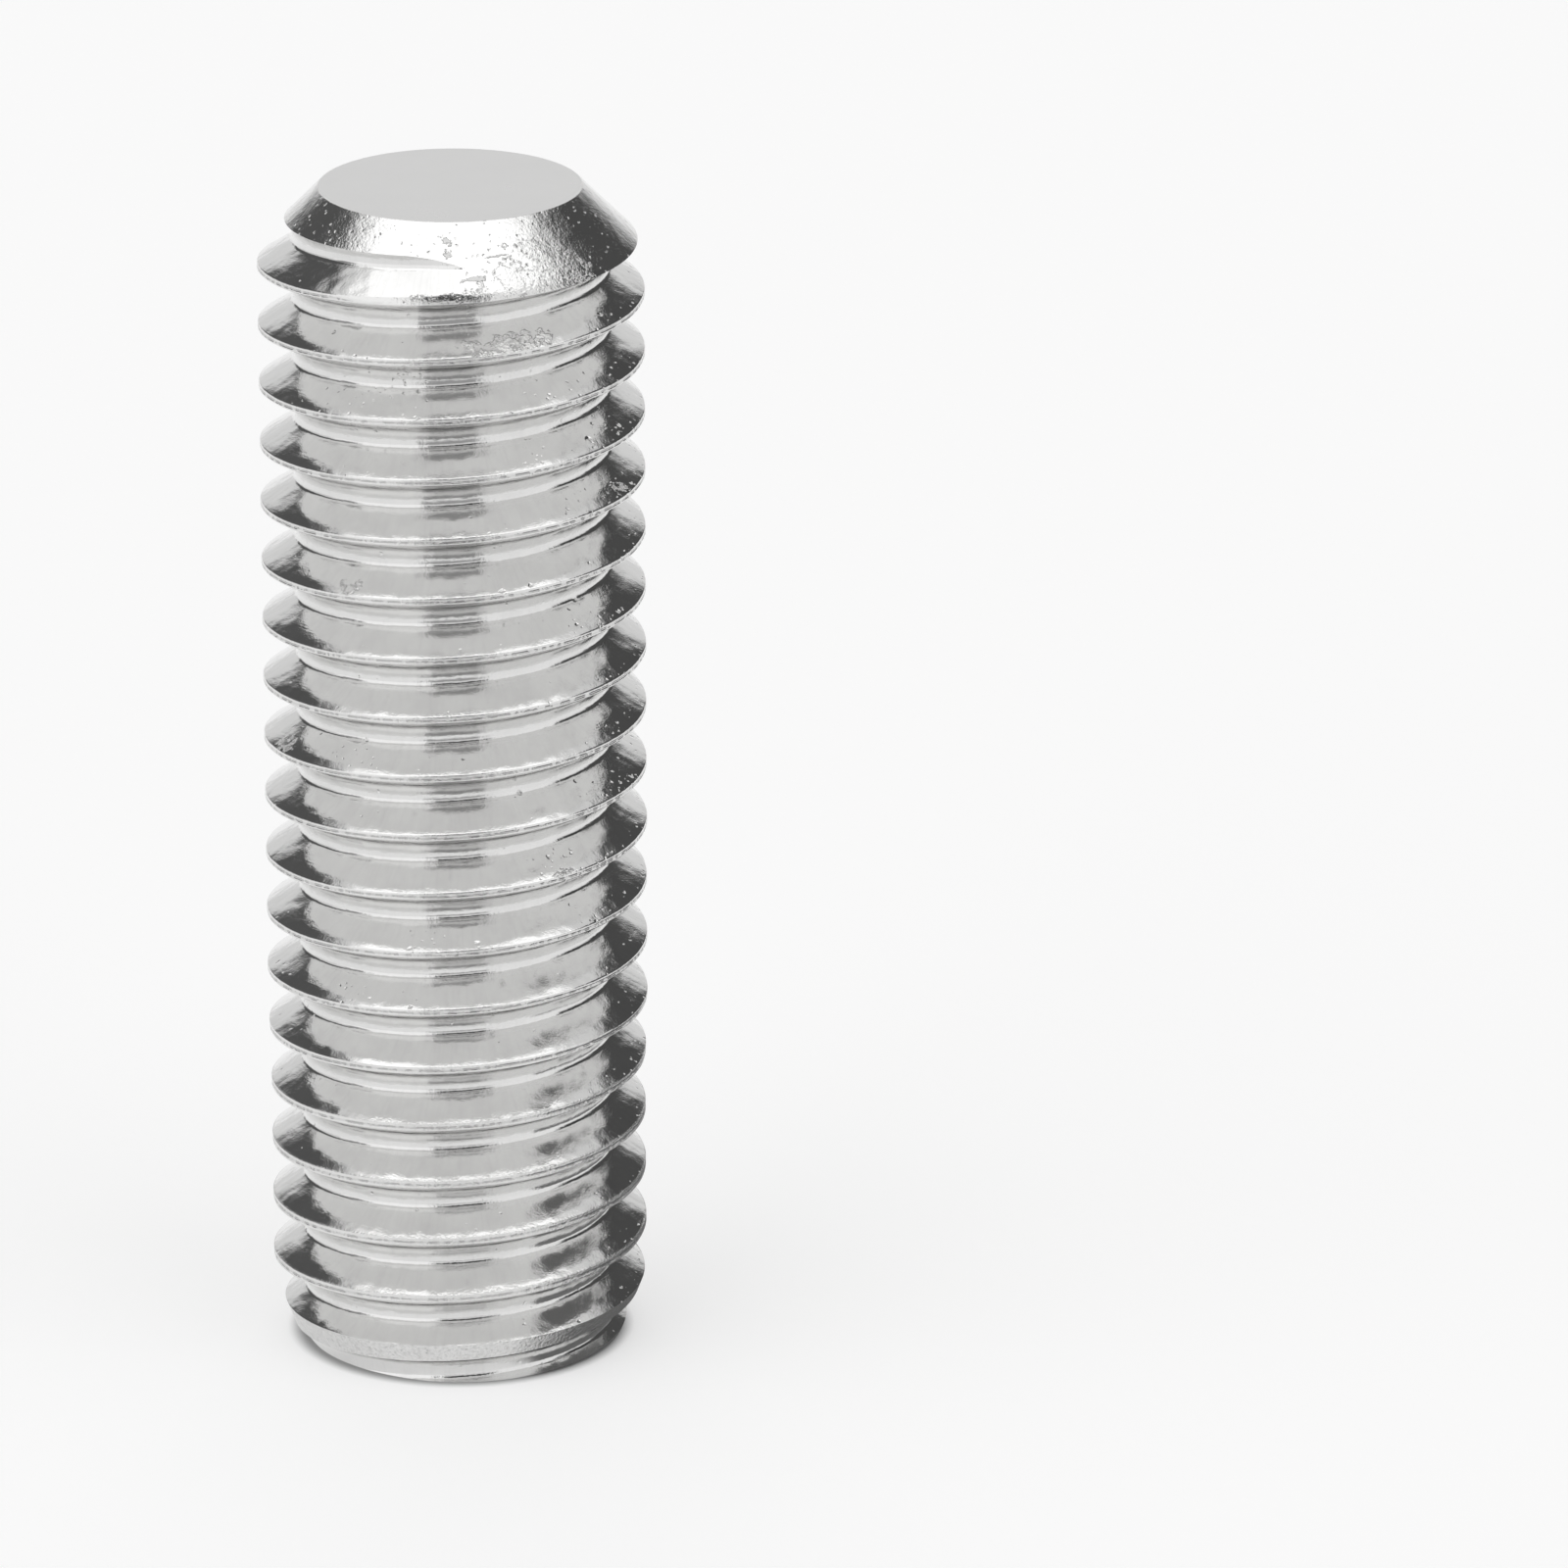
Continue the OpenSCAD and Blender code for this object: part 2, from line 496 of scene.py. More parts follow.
def join_solids(tree, operation, first, second):
    """One Mesh Boolean. A difference takes second away from first."""
    made = node(tree, "GeometryNodeMeshBoolean", operation=operation, solver="MANIFOLD")
    base = "Mesh 1" if operation == "DIFFERENCE" else "Mesh 2"
    tree.links.new(first, made.inputs[base])
    tree.links.new(second, made.inputs["Mesh 2"])
    return made.outputs["Mesh"]


def screw_tree():
    """The whole screw: rod and blank crossed, then the socket cut out."""
    sizes = {
        "Length": LENGTH, "Crest Diameter": CREST_DIAMETER, **THREAD_SIZES,
        "Start Angle": THREAD_START, "Crest Drop": CREST_DROP,
        "Bluntness": BLUNTNESS,
        "Runout Start": RUNOUT_START, "Runout End": RUNOUT_END,
        "Point Diameter": POINT_DIAMETER, "Point Angle": POINT_ANGLE,
        "Shoulder Radius": SHOULDER_RADIUS, "Edge Radius": EDGE_RADIUS,
        "Rim Diameter": RIM_DIAMETER, "Rim Edge Radius": RIM_EDGE_RADIUS,
        "Lead Angle": LEAD_ANGLE,
        "Socket Width": SOCKET_WIDTH, "Socket Depth": SOCKET_DEPTH,
        "Countersink Diameter": COUNTERSINK_DIAMETER,
        "Countersink Angle": COUNTERSINK_ANGLE, "Seed": 7.0}
    tree, given, result = new_group(
        "set screw", "GeometryNodeTree",
        [("Geometry", "Geometry", None)] + floats(*sizes.items())
        + [(name, "Material", None) for name in FINISHES],
        [("Geometry", "Geometry", None)])

    def fed(group):
        """Places a group, whose inputs take the screw's sizes of the same names."""
        wanted = [item.name for item in group.interface.items_tree
                  if item.in_out == "INPUT" and item.name in sizes]
        return node(tree, "GeometryNodeGroup", {name: given[name] for name in wanted},
                    node_tree=group).outputs

    rod = fed(threaded_rod(thread_side()))
    blank = fed(turned_blank())
    body = join_solids(tree, "INTERSECT", rod[0], blank[0])
    for cutter in fed(socket_cutter()):
        body = join_solids(tree, "DIFFERENCE", body, cutter)
    smooth = node(tree, "GeometryNodeSetShadeSmooth", {"Geometry": body})
    bend = node(tree, "GeometryNodeInputMeshEdgeAngle").outputs["Unsigned Angle"]
    sharp = node(tree, "FunctionNodeCompare", {0: bend, 1: SHARP_BEND},
                 operation="GREATER_THAN").outputs[0]
    creased = node(tree, "GeometryNodeSetShadeSmooth", {
        "Geometry": smooth.outputs[0], "Selection": sharp,
        "Shade Smooth": False}, domain="EDGE")
    solid = node(tree, "GeometryNodeRealizeInstances",
                 {"Geometry": creased.outputs[0]}).outputs[0]
    noted = node(tree, "GeometryNodeInputNamedAttribute", {"Name": "finish"},
                 data_type="INT").outputs[0]
    for index, name in enumerate(FINISHES):
        chosen = True
        if index > 0:
            chosen = node(tree, "FunctionNodeCompare", {2: noted, 3: index},
                          data_type="INT", operation="EQUAL").outputs[0]
        solid = node(tree, "GeometryNodeSetMaterial", {
            "Geometry": solid, "Selection": chosen, "Material": given[name]}).outputs[0]
    tree.links.new(solid, result["Geometry"])
    return tree


def build_screw(materials):
    """Runs the tree once and keeps its result as a plain mesh object."""
    tree = screw_tree()
    carrier = bpy.data.objects.new("carrier", bpy.data.meshes.new("carrier"))
    bpy.context.scene.collection.objects.link(carrier)
    modifier = carrier.modifiers.new("set screw", "NODES")
    modifier.node_group = tree
    sockets = {item.name: item.identifier for item in tree.interface.items_tree
               if item.in_out == "INPUT"}
    for name, material in materials.items():
        modifier[sockets[name]] = material
    evaluated = carrier.evaluated_get(bpy.context.evaluated_depsgraph_get())
    mesh = bpy.data.meshes.new_from_object(evaluated)
    mesh.name = "set_screw"
    mesh.attributes.remove(mesh.attributes["finish"])
    if mesh.materials[0] is None:
        mesh.materials.pop(index=0)
    bpy.data.objects.remove(carrier)
    screw = bpy.data.objects.new("set_screw", mesh)
    bpy.context.scene.collection.objects.link(screw)
    return screw


# --------------------------------------------------------- marks on the steel
# In the shader groups every length and height is in millimetres.

def thread_place():
    """Where a point lies on the thread. Across runs along the axis from the
    nearest crest, upwards. Round is the same all along the thread and wraps
    once a pitch, for lines that follow the thread. Around is the point brought
    to one radius, with the axis pressed together, for hairs that cross it."""
    tree, given, result = new_group(
        "place on thread", "ShaderNodeTree", [("Point", "Vector", None)],
        floats("Across") + [("Round", "Vector", None), ("Around", "Vector", None)])
    pitch, radius = PITCH / MM, 3.5
    x, y, z = parts_of(tree, given["Point"])
    angle = calc(tree, "ARCTAN2", y, x)
    turn = take(tree, divide(tree, z, pitch), divide(tree, angle, math.tau))
    turn = add(tree, turn, THREAD_START / math.tau - 0.5 + CREST_DROP / PITCH)
    across = times(tree, take(tree, turn, calc(tree, "ROUND", turn)), pitch)
    spin = times(tree, turn, math.tau)
    tree.links.new(across, result["Across"])
    tree.links.new(round_axis(tree, spin, pitch / math.tau), result["Round"])
    tree.links.new(round_axis(tree, angle, radius, times(tree, z, 0.12)),
                   result["Around"])
    return tree


def rolling_lines():
    """Fine lines that follow the thread, as the rolling dies leave them."""
    tree, given, result = new_group(
        "rolling lines", "ShaderNodeTree",
        [("Point", "Vector", None), ("Round", "Vector", None)]
        + floats("Width", "Length", "Height"), floats("Height"))
    x, y, z = parts_of(tree, given["Point"])
    # The lines change slowly with the point itself, so each has an end
    ratio = divide(tree, given["Width"], given["Length"])
    shift = times(tree, add(tree, times(tree, x, 0.8), times(tree, y, 0.6)), ratio)
    place = join_vectors(tree, "ADD", given["Round"],
                         vector(tree, z=times(tree, z, ratio)))
    lines = noise(tree, place, divide(tree, 1.0, given["Width"]), 2.0, 0.6,
                  w=divide(tree, shift, given["Width"]))
    tree.links.new(times(tree, take(tree, lines, 0.5), given["Height"]),
                   result["Height"])
    return tree


def fine_grain():
    """Uneven skin of the metal, which makes the reflections ragged."""
    tree, given, result = new_group(
        "fine grain", "ShaderNodeTree", [("Point", "Vector", None)]
        + floats("Size", "Height", ("Detail", 3.0)), floats("Height"))
    grain = noise(tree, given["Point"], divide(tree, 1.0, given["Size"]),
                  given["Detail"], 0.6)
    tree.links.new(times(tree, take(tree, grain, 0.5), given["Height"]),
                   result["Height"])
    return tree


def dents():
    """Scattered small dents. Share is the part of the places that have one."""
    tree, given, result = new_group(
        "dents", "ShaderNodeTree", [("Point", "Vector", None)]
        + floats("Spacing", "Radius", "Depth", "Share"), floats("Height", "Mask"))
    # The wobble keeps the dents from being round
    wobble = node(tree, "ShaderNodeTexNoise", {
        "Vector": given["Point"], "Scale": 9.0, "Detail": 1.0}).outputs["Color"]
    place = join_vectors(tree, "ADD", given["Point"], scaled(tree, wobble, 0.09))
    cells = node(tree, "ShaderNodeTexVoronoi", {
        "Vector": place, "Scale": divide(tree, 1.0, given["Spacing"])})
    drawn = node(tree, "ShaderNodeSeparateColor",
                 {0: cells.outputs["Color"]}).outputs
    distance = times(tree, cells.outputs["Distance"], given["Spacing"])
    radius = times(tree, given["Radius"], add(tree, drawn[1], 0.5))
    hollow = ramp(tree, distance, 0.0, radius, 1.0, 0.0)
    there = calc(tree, "LESS_THAN", drawn[0], given["Share"])
    mask = times(tree, hollow, there)
    tree.links.new(times(tree, mask, given["Depth"], -1.0), result["Height"])
    tree.links.new(mask, result["Mask"])
    return tree


def torn_skin():
    """Patches of lifted, smeared metal with ragged edges. Amount from 0 to 1."""
    tree, given, result = new_group(
        "torn skin", "ShaderNodeTree", [("Point", "Vector", None)]
        + floats("Size", "Amount", "Height"), floats("Height", "Mask"))
    patch = noise(tree, given["Point"], divide(tree, 1.0, given["Size"]), 5.0, 0.65)
    level = ramp(tree, given["Amount"], 0.0, 1.0, 0.75, 0.42, smooth=False)
    mask = ramp(tree, take(tree, patch, level), 0.0, 0.05)
    fine = noise(tree, given["Point"], 11.0, 3.0, 0.6)
    lift = times(tree, mask, add(tree, 0.3, times(tree, fine, 2.5)))
    tree.links.new(times(tree, lift, given["Height"]), result["Height"])
    tree.links.new(mask, result["Mask"])
    return tree


def spot():
    """1 within Reach of a Centre, and 0 beyond it."""
    tree, given, result = new_group(
        "spot", "ShaderNodeTree",
        [("Point", "Vector", None), ("Centre", "Vector", None)]
        + floats("Reach"), floats("Mask"))
    away = join_vectors(tree, "DISTANCE", given["Point"], given["Centre"], "Value")
    tree.links.new(ramp(tree, away, times(tree, given["Reach"], 0.4), given["Reach"],
                        1.0, 0.0), result["Mask"])
    return tree


def scar():
    """Mask of a ragged stroke from one point to another."""
    tree, given, result = new_group(
        "scar", "ShaderNodeTree",
        [("Point", "Vector", None), ("Start", "Vector", None), ("End", "Vector", None)]
        + floats(("Width", 0.05), ("Ragged", 1.0), "Bumpy"), floats("Mask"))
    way = join_vectors(tree, "SUBTRACT", given["End"], given["Start"])
    from_start = join_vectors(tree, "SUBTRACT", given["Point"], given["Start"])
    # The nearest point of the stroke, as a share of the way
    share = calc(tree, "DIVIDE",
                 join_vectors(tree, "DOT_PRODUCT", from_start, way, "Value"),
                 join_vectors(tree, "DOT_PRODUCT", way, way, "Value"), clamp=True)
    nearest = scaled(tree, way, share)
    off = join_vectors(tree, "DISTANCE", from_start, nearest, "Value")
    off = add(tree, divide(tree, off, given["Width"]),
              times(tree, given["Bumpy"], given["Ragged"], 5.0))
    tree.links.new(ramp(tree, off, 0.7, 1.1, 1.0, 0.0), result["Mask"])
    return tree


class Marks:
    """The shader groups, built once and placed in each steel."""

    def __init__(self):
        self.place = thread_place()
        self.lines = rolling_lines()
        self.grain = fine_grain()
        self.dents = dents()
        self.torn = torn_skin()
        self.spot = spot()
        self.scar = scar()


def put(tree, group, **inputs):
    """Places a group. An input called line_width feeds the socket Line Width."""
    named = {key.replace("_", " ").title(): value for key, value in inputs.items()}
    return node(tree, "ShaderNodeGroup", named, node_tree=group).outputs


def new_steel(name, roughness, colour=STEEL):
    """Bare steel as (material, tree, shader, point in millimetres)."""
    material = bpy.data.materials.new(name)
    material.use_nodes = True
    tree = material.node_tree
    shader = tree.nodes["Principled BSDF"]
    shader.inputs["Base Color"].default_value = colour
    shader.inputs["Metallic"].default_value = 1.0
    shader.inputs["Roughness"].default_value = roughness
    place = node(tree, "ShaderNodeTexCoord").outputs["Object"]
    return material, tree, shader, scaled(tree, place, 1 / MM)


def finish(tree, shader, heights, roughness, shade):
    """Puts the summed heights on the normal, and sets the roughness. Where
    shade is 1 the steel keeps only the marked share of its colour."""
    bright = shader.inputs["Base Color"].default_value
    marked = [MARKED_SHARE * part for part in bright[:3]] + [1]
    bump = node(tree, "ShaderNodeBump", {
        "Height": add(tree, *heights), "Distance": MM, "Strength": 1.0})
    tree.links.new(bump.outputs[0], shader.inputs["Normal"])
    tree.links.new(roughness, shader.inputs["Roughness"])
    colour = node(tree, "ShaderNodeMix", {0: shade, 6: bright, 7: marked},
                  data_type="RGBA")
    tree.links.new(colour.outputs[2], shader.inputs["Base Color"])


def spots(tree, marks, point, places):
    """Sum of soft spots, each given as centre, reach and strength."""
    total = 0.0
    for centre, reach, strength in places:
        mask = put(tree, marks.spot, point=point, centre=centre, reach=reach)["Mask"]
        total = add(tree, total, times(tree, mask, strength))
    return total


# Where the thread is speckled with small dents, in millimetres: centre, reach
# and strength
SPECKLED = (
    ((-1.4, -3.5, 21.2), 1.3, 0.8), ((2.0, -3.1, 21.4), 1.0, 0.8),
    ((1.8, -3.2, 20.0), 0.7, 0.9), ((3.1, -2.0, 20.4), 1.2, 0.8),
    ((2.6, -2.7, 18.7), 0.8, 0.8), ((0.6, -3.7, 18.2), 0.8, 0.5),
    ((2.7, -2.5, 16.2), 0.7, 0.9), ((-2.0, -3.1, 13.4), 0.9, 0.8),
    ((3.4, -1.6, 12.3), 0.9, 0.9), ((2.2, -3.0, 11.1), 0.9, 1.0),
    ((2.8, -2.4, 9.9), 0.7, 0.9), ((-0.6, -3.7, 9.8), 0.7, 0.9),
    ((-2.0, -3.1, 8.4), 0.7, 0.8), ((-0.9, -3.6, 8.5), 0.5, 0.8),
)
# Where flakes of metal are torn up
FLAKED = (
    ((1.3, -3.5, 23.5), 1.1, 0.9), ((2.2, -3.0, 23.6), 0.9, 0.9),
    ((0.7, -3.7, 22.4), 0.8, 0.8), ((1.6, -3.3, 22.6), 0.9, 1.0),
    ((-2.0, -3.1, 17.1), 0.5, 0.7), ((-3.4, -1.5, 13.4), 0.6, 0.8),
    ((2.2, -3.0, 11.1), 0.7, 0.6), ((3.4, -1.6, 19.0), 0.9, 0.6),
)

# Ragged dark strokes, in millimetres: start, end, half width, raggedness. Only
# the first ones lie on the thread. They are cut in as shallow marks, and their
# darkness is painted: a painted dark reflection on the torn first one, and
# painted shade in the cracks of the others.
SCARS_AND_PAINTED_SHADE = (
    ((-0.6, -3.75, 23.34), (0.75, -3.75, 23.22), 0.07, 1.0),
    ((0.75, -3.75, 23.22), (1.6, -3.5, 23.36), 0.03, 0.8),
    ((0.5, -3.3, 24.0), (1.25, -3.0, 24.05), 0.025, 0.7),
    ((1.1, -3.1, 23.9), (1.5, -2.9, 24.15), 0.025, 0.7),
    ((0.3, -3.6, 23.65), (0.75, -3.5, 23.68), 0.04, 1.0),
    ((-0.5, -3.35, 23.92), (0.5, -3.4, 23.88), 0.02, 0.6),
    ((0.0, -2.9, 24.35), (0.05, -3.2, 24.05), 0.06, 1.4),
)
THREAD_SCARS = 2
# Bright scratches across the flanks
SCRATCHES = (
    ((0.74, -3.68, 16.54), (1.32, -3.51, 16.07), 0.022, 0.1),
    ((-0.6, -3.7, 3.62), (-0.2, -3.72, 3.58), 0.03, 0.4),
)


def strokes(tree, marks, point, places):
    """Strongest of several ragged strokes."""
    total = 0.0
    bumpy = take(tree, noise(tree, point, 7.0, 3.0, 0.7), 0.5)
    for start, end, width, ragged in places:
        mask = put(tree, marks.scar, point=point, start=start, end=end,
                   width=width, ragged=ragged, bumpy=bumpy)["Mask"]
        total = calc(tree, "MAXIMUM", total, mask)
    return total


def thread_wear(tree, marks, point, across):
    """Dents, finer specks and torn flakes: a few everywhere, and more in the
    worn places."""
    x, y, _ = parts_of(tree, point)
    patchy = noise(tree, point, 0.45, 2.0)
    upper = times(tree, ramp(tree, across, 0.02, 0.08),
                  ramp(tree, across, 0.20, 0.50, 1.0, 0.0))
    right_side = times(tree, ramp(tree, x, 2.3, 3.0), ramp(tree, y, -3.2, -2.4),
                       ramp(tree, calc(tree, "ABSOLUTE", across), 0.10, 0.35, 1.0, 0.0))
    speckled = add(tree, times(tree, ramp(tree, patchy, 0.5, 0.7), 0.3),
                   times(tree, right_side, 0.8), spots(tree, marks, point, SPECKLED))
    pits = put(tree, marks.dents, point=point, spacing=0.28, radius=0.06,
               depth=0.020, share=times(tree, speckled, 0.35))
    specks = put(tree, marks.dents, point=point, spacing=0.12, radius=0.035,
                 depth=0.012, share=times(tree, speckled, 0.5))
    torn = put(tree, marks.torn, point=point, size=0.22, height=0.016,
               amount=times(tree, upper, spots(tree, marks, point, FLAKED)))
    return pits, specks, torn


def thread_steel(marks):
    """Rolled thread: lines along the groove, a broken skin on the crests."""
    material, tree, shader, point = new_steel("rolled thread steel", 0.05)
    where = put(tree, marks.place, point=point)
    across = where["Across"]
    off_crest = calc(tree, "ABSOLUTE", across)
    # The crests of the lowest turns are wider, and grainier
    lower = ramp(tree, parts_of(tree, point)[2], 5.0, 8.0, 1.0, 0.0)
    on_crest = ramp(tree, take(tree, off_crest, times(tree, lower, 0.035)),
                    0.045, 0.08, 1.0, 0.0)
    crest_grain = times(tree, on_crest, add(tree, 0.005, times(tree, lower, 0.012)))
    lines = put(tree, marks.lines, point=point, round=where["Round"],
                width=0.045, length=1.8, height=0.002)
    waves = put(tree, marks.grain, point=point, size=0.45, height=0.018, detail=1.0)
    grain = put(tree, marks.grain, point=point, size=0.05,
                height=add(tree, 0.003, crest_grain))
    # Broken seam along the top of the crest: a shallow groove whose dashes are also
    # darkened in colour, painted shade in the seam
    dashes = noise(tree, point, 6.0, 3.0, 0.6)
    seam = times(tree, ramp(tree, off_crest, 0.008, 0.036, 1.0, 0.0),
                 ramp(tree, dashes, 0.44, 0.54, 0.35, 1.0))
    # Faint hairs that cross the thread, and slow stains
    hairs = noise(tree, where["Around"], 16.0, 2.0, 0.6)
    stains = noise(tree, point, 1.1, 3.0, 0.6)
    pits, specks, torn = thread_wear(tree, marks, point, across)
    # Torn strokes, whose darkening is a painted dark reflection
    scars_and_painted_shade = strokes(tree, marks, point, SCARS_AND_PAINTED_SHADE[:THREAD_SCARS])
    scratches = strokes(tree, marks, point, SCRATCHES)
    shade = add(tree, times(tree, ramp(tree, hairs, 0.45, 0.75), 0.06),
                times(tree, ramp(tree, stains, 0.4, 0.7), 0.10),
                times(tree, pits["Mask"], 0.4), times(tree, seam, 0.75),
                times(tree, scars_and_painted_shade, 0.8))
    roughness = add(tree, 0.05, times(tree, torn["Mask"], 0.10),
                    times(tree, on_crest, 0.06), times(tree, hairs, 0.03))
    heights = [lines["Height"], waves["Height"], grain["Height"],
               times(tree, seam, -0.014), pits["Height"], specks["Height"],
               torn["Height"], times(tree, scars_and_painted_shade, -0.02),
               times(tree, scratches, 0.012)]
    finish(tree, shader, heights, roughness, shade)
    return material


# Where the point's cone and its foot are torn, in millimetres
TORN_CONE = (
    ((1.5, -3.1, 23.9), 0.8, 0.8), ((2.2, -2.7, 23.9), 0.8, 0.9),
    ((0.9, -3.6, 23.5), 0.8, 0.7), ((1.9, -3.3, 23.5), 0.9, 0.9),
    ((2.6, -2.7, 23.6), 0.7, 0.9),
)


def turned_steel(marks):
    """Cones and shoulder of both ends: bright, torn on one side of the point,
    grainy where the lead cone cuts the first crest."""
    material, tree, shader, point = new_steel("turned end steel", 0.06)
    lead = ramp(tree, parts_of(tree, point)[2], 1.6, 2.2, 1.0, 0.0)
    waves = put(tree, marks.grain, point=point, size=0.45, height=0.018, detail=1.0)
    grain = put(tree, marks.grain, point=point, size=0.06,
                height=add(tree, 0.009, times(tree, lead, 0.03)))
    gouges = put(tree, marks.torn, point=point, size=0.4, height=0.007,
                 amount=spots(tree, marks, point, TORN_CONE))
    pits = put(tree, marks.dents, point=point, spacing=0.11, radius=0.035,
               depth=0.012, share=0.35)
    # Torn strokes and cracks, whose darkening is painted shade and a painted dark
    # reflection
    scars_and_painted_shade = strokes(tree, marks, point, SCARS_AND_PAINTED_SHADE)
    stains = noise(tree, point, 1.1, 3.0, 0.6)
    # Dark specks on the lead cone, near the socket end
    dark_lead_specks = times(tree, lead, ramp(tree, noise(tree, point, 14.0, 3.0, 0.7),
                                  0.45, 0.65))
    shade = add(tree, times(tree, pits["Mask"], 0.4), times(tree, scars_and_painted_shade, 0.7),
                times(tree, dark_lead_specks, 0.3), times(tree, ramp(tree, stains, 0.4, 0.7), 0.08))
    roughness = add(tree, 0.04, times(tree, gouges["Mask"], 0.04),
                    times(tree, lead, 0.12))
    heights = [waves["Height"], grain["Height"], gouges["Height"],
               pits["Height"], times(tree, scars_and_painted_shade, -0.02)]
    finish(tree, shader, heights, roughness, shade)
    return material


def flat_steel(marks):
    """Both flats: fine satin, with faint rings from the tool, in steel lightened as
    painted light.
    """
    material, tree, shader, point = new_steel("satin flat steel", 0.3, PAINTED_LIGHT_STEEL)
    x, y, _ = parts_of(tree, point)
    rings = noise(tree, vector(tree, from_axis(tree, x, y)), 16.0, 2.0)
    grain = put(tree, marks.grain, point=point, size=0.06, height=0.0015)
    cloud = noise(tree, point, 1.2, 3.0)
    finish(tree, shader, [grain["Height"], times(tree, rings, 0.0012)],
           add(tree, 0.25, times(tree, cloud, 0.08)), times(tree, cloud, 0.05))
    return material


def socket_steel(marks):
    """Pressed socket: dull walls with marks along the axis."""
    material, tree, shader, point = new_steel("pressed socket steel", 0.4)
    x, y, z = parts_of(tree, point)
    drawn = noise(tree, vector(tree, x, y, times(tree, z, 0.08)), 14.0, 3.0)
    grain = put(tree, marks.grain, point=point, size=0.09, height=0.006)
    finish(tree, shader, [grain["Height"], times(tree, drawn, 0.02)],
           add(tree, 0.25, times(tree, drawn, 0.3)), times(tree, drawn, 0.5))
    return material


# ------------------------------------------------------------------ the studio

def studio_panel():
    """Mask of a soft-edged panel in the sky, by its azimuth and elevation.
    Azimuth 0 is towards the camera and 90 degrees is to its right. Tilt raises
    the lower edge, in degrees for each degree of azimuth past the middle."""
    tree, given, result = new_group(
        "studio panel", "ShaderNodeTree", [("Direction", "Vector", None)]
        + floats("From", "To", "Low", "High", "Tilt", ("Edge", 3.0)),
        floats("Mask"))
    x, y, z = parts_of(tree, given["Direction"])
    azimuth = times(tree, calc(tree, "ARCTAN2", x, times(tree, y, -1.0)), 1 / DEGREE)
    elevation = times(tree, calc(tree, "ARCSINE", z), 1 / DEGREE)
    soft, hard = given["Edge"], times(tree, given["Edge"], -1.0)
    middle = times(tree, add(tree, given["From"], given["To"]), 0.5)
    half = times(tree, take(tree, given["To"], given["From"]), 0.5)
    past = calc(tree, "WRAP", take(tree, azimuth, middle), 180.0, -180.0)
    sides = ramp(tree, take(tree, calc(tree, "ABSOLUTE", past), half),
                 hard, soft, 1.0, 0.0)
    low = add(tree, given["Low"], times(tree, past, given["Tilt"]))
    over = ramp(tree, take(tree, elevation, low), hard, soft)
    under = ramp(tree, take(tree, elevation, given["High"]), hard, soft, 1.0, 0.0)
    tree.links.new(times(tree, sides, over, under), result["Mask"])
    return tree


# Panels of the light tent: azimuth from and to, elevation low and high, tilt
# of the lower edge, soft edge, all in degrees, and the light from there
TENT = 0.76
PANELS = (
    ((-96, -18, -95, 56, 0, 4), 1.12),         # front left diffuser
    ((22, 80, -95, 54, 0, 5), 0.97),           # front right diffuser
    ((-106, 104, 55, 78, 0, 4), 1.75),         # lamp over the camera
    ((-106, -89, 49, 58, 0, 2), 1.3),          # the lamp's lower left end
    ((78, 102, 48, 58, 0, 2), 1.3),            # and its lower right end
    ((-181, 181, 64, 120, 0, 4), 1.35),        # lamp overhead
    ((-181, -112, 56, 120, 0, 3), 1.35),       # and on to the left
    ((-152, -91, 11, 47, 0.35, 3), 0.10),      # left flag
    ((-93, -76, 10, 32, 0, 5), 0.3),           # left flag's thin end
    ((80, 111, 12, 46, 0, 3), 0.06),           # first right flag
    ((108, 156, -12, 46, 0, 3), 0.08),         # second right flag
    ((-21, 23, 24, 50, 0, 3), 0.05),           # opening for the lens
)


def build_world():
    """A white tent with two diffusers, a lamp overhead, flags and a lens hole.
    The camera itself sees only the plain backdrop."""
    world = bpy.data.worlds.new("light tent")
    world.use_nodes = True
    bpy.context.scene.world = world
    tree = world.node_tree
    tree.nodes.clear()
    direction = node(tree, "ShaderNodeTexCoord").outputs["Generated"]
    panel = studio_panel()
    light = TENT
    for (start, end, low, high, tilt, edge), strength in PANELS:
        mask = put(tree, panel, direction=direction, low=float(low),
                   high=float(high), tilt=float(tilt), edge=float(edge), **{
                       "from": float(start), "to": float(end)})[0]
        light = add(tree, light, times(tree, mask, take(tree, strength, light)))
    seen = node(tree, "ShaderNodeLightPath").outputs["Is Camera Ray"]
    colour = node(tree, "ShaderNodeMix", {
        0: seen, 6: light, 7: BACKDROP}, data_type="RGBA").outputs[2]
    background = node(tree, "ShaderNodeBackground", {"Color": colour})
    world_out = node(tree, "ShaderNodeOutputWorld")
    tree.links.new(background.outputs[0], world_out.inputs[0])


# What the steel sees on the floor, in millimetres: dark reflections painted on it.
# The painted gap under the lens is a wedge that opens ahead of the screw, on both
# sides of its middle line.
PAINTED_GAP_STARTS, PAINTED_GAP_IS_FULL = 26.0, 42.0
PAINTED_GAP_MIDDLE = 1.0
PAINTED_GAP_SHADE = 0.6
# The grey card is a dark reflection painted on the floor. Its near corner is by
# the screw's foot, at the right
PAINTED_CARD_CORNER = (1.7, -3.2)
PAINTED_CARD_TURN = 25 * DEGREE
PAINTED_CARD_SHADE = 0.8
# The painted contact shadow fades out between these distances from the axis
PAINTED_SHADOW_FADES = (3.25, 3.65)


